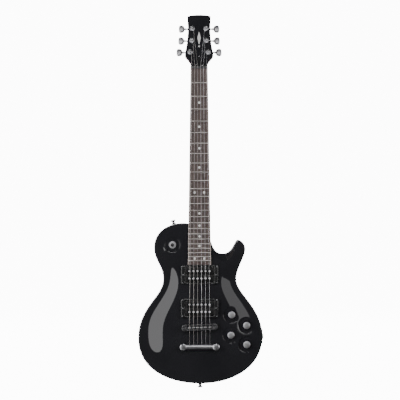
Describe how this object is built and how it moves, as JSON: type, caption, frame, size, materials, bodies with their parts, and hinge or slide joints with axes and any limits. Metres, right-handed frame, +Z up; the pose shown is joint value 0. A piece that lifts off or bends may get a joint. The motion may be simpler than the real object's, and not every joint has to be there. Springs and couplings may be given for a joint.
{
  "type": "electric guitar",
  "caption": "Solid-body electric guitar with a carved single-cutaway body, set neck, double-coil pickups, slide saddles, geared tuners and rotary controls.",
  "frame": {"origin": "middle of the nut's fretboard edge, on the playing surface, where a wall hanger's yoke holds the instrument just above", "axes": "+Z up along the instrument from the body to the headstock, +X towards the treble side, the back faces +Y and the strings face -Y"},
  "size_m": [0.307, 0.1046, 0.9183],
  "materials": {
    "gloss_black_lacquer": "gloss",
    "mahogany": "satin",
    "rosewood": "oiled",
    "bone": "satin",
    "black_plastic": "satin",
    "satin_nickel": "satin",
    "polished_steel": "polished",
    "dark_metal": "satin"
  },
  "bodies": {
    "root": {"body": "gloss_black_lacquer", "bridge_body": "satin_nickel", "bridge_post_bass": "polished_steel", "bridge_post_treble": "polished_steel", "control_cover": "black_plastic", "fretboard": "rosewood", "jack_plate": "satin_nickel", "jack_socket": "polished_steel", "neck": "mahogany", "nut": "black_plastic", "pickup_ring_bridge": "black_plastic", "pickup_ring_neck": "black_plastic", "potentiometers": "dark_metal", "strap_button_lower": "satin_nickel", "strap_button_upper": "satin_nickel", "string_1": "polished_steel", "string_2": "polished_steel", "string_3": "polished_steel", "string_4": "polished_steel", "string_5": "polished_steel", "string_6": "polished_steel", "switch_cover": "black_plastic", "tailpiece": "satin_nickel", "tailpiece_stud_bass": "polished_steel", "tailpiece_stud_treble": "polished_steel", "toggle_switch": "polished_steel", "truss_rod": "polished_steel", "truss_rod_cover": "black_plastic", "tuner_housing_1": "satin_nickel", "tuner_housing_2": "satin_nickel", "tuner_housing_3": "satin_nickel", "tuner_housing_4": "satin_nickel", "tuner_housing_5": "satin_nickel", "tuner_housing_6": "satin_nickel"},
    "knob_neck_volume": {"knob_neck_volume": "satin_nickel"},
    "knob_bridge_volume": {"knob_bridge_volume": "satin_nickel"},
    "knob_neck_tone": {"knob_neck_tone": "satin_nickel"},
    "knob_bridge_tone": {"knob_bridge_tone": "satin_nickel"},
    "toggle_lever": {"toggle_lever": "black_plastic"},
    "tuner_button_1": {"tuner_button_1": "satin_nickel"},
    "tuner_post_1": {"tuner_post_1": "polished_steel"},
    "tuner_button_2": {"tuner_button_2": "satin_nickel"},
    "tuner_post_2": {"tuner_post_2": "polished_steel"},
    "tuner_button_3": {"tuner_button_3": "satin_nickel"},
    "tuner_post_3": {"tuner_post_3": "polished_steel"},
    "tuner_button_4": {"tuner_button_4": "satin_nickel"},
    "tuner_post_4": {"tuner_post_4": "polished_steel"},
    "tuner_button_5": {"tuner_button_5": "satin_nickel"},
    "tuner_post_5": {"tuner_post_5": "polished_steel"},
    "tuner_button_6": {"tuner_button_6": "satin_nickel"},
    "tuner_post_6": {"tuner_post_6": "polished_steel"},
    "saddle_1": {"saddle_1": "satin_nickel"},
    "saddle_2": {"saddle_2": "satin_nickel"},
    "saddle_3": {"saddle_3": "satin_nickel"},
    "saddle_4": {"saddle_4": "satin_nickel"},
    "saddle_5": {"saddle_5": "satin_nickel"},
    "saddle_6": {"saddle_6": "satin_nickel"},
    "pickup_neck": {"pickup_neck": "black_plastic"},
    "pickup_bridge": {"pickup_bridge": "black_plastic"}
  },
  "joints": [
    {"name": "knob_neck_volume_turn", "type": "hinge", "parent": "root", "child": "knob_neck_volume", "pos_m": [0.0785, -0.0174, -0.6038], "axis": [0, -1, 0], "range_deg": [-150, 150]},
    {"name": "knob_bridge_volume_turn", "type": "hinge", "parent": "root", "child": "knob_bridge_volume", "pos_m": [0.115, -0.01218, -0.63], "axis": [0, -1, 0], "range_deg": [-150, 150]},
    {"name": "knob_neck_tone_turn", "type": "hinge", "parent": "root", "child": "knob_neck_tone", "pos_m": [0.0765, -0.01827, -0.6533], "axis": [0, -1, 0], "range_deg": [-150, 150]},
    {"name": "knob_bridge_tone_turn", "type": "hinge", "parent": "root", "child": "knob_bridge_tone", "pos_m": [0.1153, -0.01179, -0.6769], "axis": [0, -1, 0], "range_deg": [-150, 150]},
    {"name": "toggle_throw", "type": "hinge", "parent": "root", "child": "toggle_lever", "pos_m": [-0.0662, -0.01268, -0.4326], "axis": [0, 0, 1], "range_deg": [-15, 15]},
    {"name": "tuner_1_button_turn", "type": "hinge", "parent": "root", "child": "tuner_button_1", "pos_m": [0.0487, 0.04049, 0.04136], "axis": [1, 0, 0], "continuous": true},
    {"name": "tuner_1_post_turn", "type": "hinge", "parent": "root", "child": "tuner_post_1", "pos_m": [0.0222, 0.01857, 0.0419], "axis": [0, -0.9603, 0.279], "continuous": true},
    {"name": "tuner_2_button_turn", "type": "hinge", "parent": "root", "child": "tuner_button_2", "pos_m": [0.0443, 0.04891, 0.07036], "axis": [1, 0, 0], "continuous": true},
    {"name": "tuner_2_post_turn", "type": "hinge", "parent": "root", "child": "tuner_post_2", "pos_m": [0.0178, 0.02699, 0.0709], "axis": [0, -0.9603, 0.279], "continuous": true},
    {"name": "tuner_3_button_turn", "type": "hinge", "parent": "root", "child": "tuner_button_3", "pos_m": [0.0432, 0.05764, 0.10042], "axis": [1, 0, 0], "continuous": true},
    {"name": "tuner_3_post_turn", "type": "hinge", "parent": "root", "child": "tuner_post_3", "pos_m": [0.017, 0.03572, 0.10096], "axis": [0, -0.9603, 0.279], "continuous": true},
    {"name": "tuner_4_button_turn", "type": "hinge", "parent": "root", "child": "tuner_button_4", "pos_m": [-0.0432, 0.05764, 0.10042], "axis": [1, 0, 0], "continuous": true},
    {"name": "tuner_4_post_turn", "type": "hinge", "parent": "root", "child": "tuner_post_4", "pos_m": [-0.017, 0.03572, 0.10096], "axis": [0, -0.9603, 0.279], "continuous": true},
    {"name": "tuner_5_button_turn", "type": "hinge", "parent": "root", "child": "tuner_button_5", "pos_m": [-0.0443, 0.04891, 0.07036], "axis": [1, 0, 0], "continuous": true},
    {"name": "tuner_5_post_turn", "type": "hinge", "parent": "root", "child": "tuner_post_5", "pos_m": [-0.0178, 0.02699, 0.0709], "axis": [0, -0.9603, 0.279], "continuous": true},
    {"name": "tuner_6_button_turn", "type": "hinge", "parent": "root", "child": "tuner_button_6", "pos_m": [-0.0487, 0.04049, 0.04136], "axis": [1, 0, 0], "continuous": true},
    {"name": "tuner_6_post_turn", "type": "hinge", "parent": "root", "child": "tuner_post_6", "pos_m": [-0.0222, 0.01857, 0.0419], "axis": [0, -0.9603, 0.279], "continuous": true},
    {"name": "saddle_1_slide", "type": "slide", "parent": "root", "child": "saddle_1", "axis": [-0.0401, 0, 0.9992], "range_m": [-0.0023, 0.0023], "deforming": ["string_1"]},
    {"name": "saddle_2_slide", "type": "slide", "parent": "root", "child": "saddle_2", "axis": [-0.0401, 0, 0.9992], "range_m": [-0.0023, 0.0023], "deforming": ["string_2"]},
    {"name": "saddle_3_slide", "type": "slide", "parent": "root", "child": "saddle_3", "axis": [-0.0401, 0, 0.9992], "range_m": [-0.0023, 0.0023], "deforming": ["string_3"]},
    {"name": "saddle_4_slide", "type": "slide", "parent": "root", "child": "saddle_4", "axis": [-0.0401, 0, 0.9992], "range_m": [-0.0023, 0.0023], "deforming": ["string_4"]},
    {"name": "saddle_5_slide", "type": "slide", "parent": "root", "child": "saddle_5", "axis": [-0.0401, 0, 0.9992], "range_m": [-0.0023, 0.0023], "deforming": ["string_5"]},
    {"name": "saddle_6_slide", "type": "slide", "parent": "root", "child": "saddle_6", "axis": [-0.0401, 0, 0.9992], "range_m": [-0.0023, 0.0023], "deforming": ["string_6"]},
    {"name": "pickup_neck_height", "type": "slide", "parent": "root", "child": "pickup_neck", "axis": [0, -1, 0], "range_m": [-0.0035, 0.0012]},
    {"name": "pickup_bridge_height", "type": "slide", "parent": "root", "child": "pickup_bridge", "axis": [0, -1, 0], "range_m": [-0.0035, 0.0012]}
  ],
  "couplings": [
    {"joint": "tuner_1_post_turn", "follows": "tuner_1_button_turn", "ratio": -0.071429},
    {"joint": "tuner_2_post_turn", "follows": "tuner_2_button_turn", "ratio": -0.071429},
    {"joint": "tuner_3_post_turn", "follows": "tuner_3_button_turn", "ratio": -0.071429},
    {"joint": "tuner_4_post_turn", "follows": "tuner_4_button_turn", "ratio": 0.071429},
    {"joint": "tuner_5_post_turn", "follows": "tuner_5_button_turn", "ratio": 0.071429},
    {"joint": "tuner_6_post_turn", "follows": "tuner_6_button_turn", "ratio": 0.071429}
  ]
}
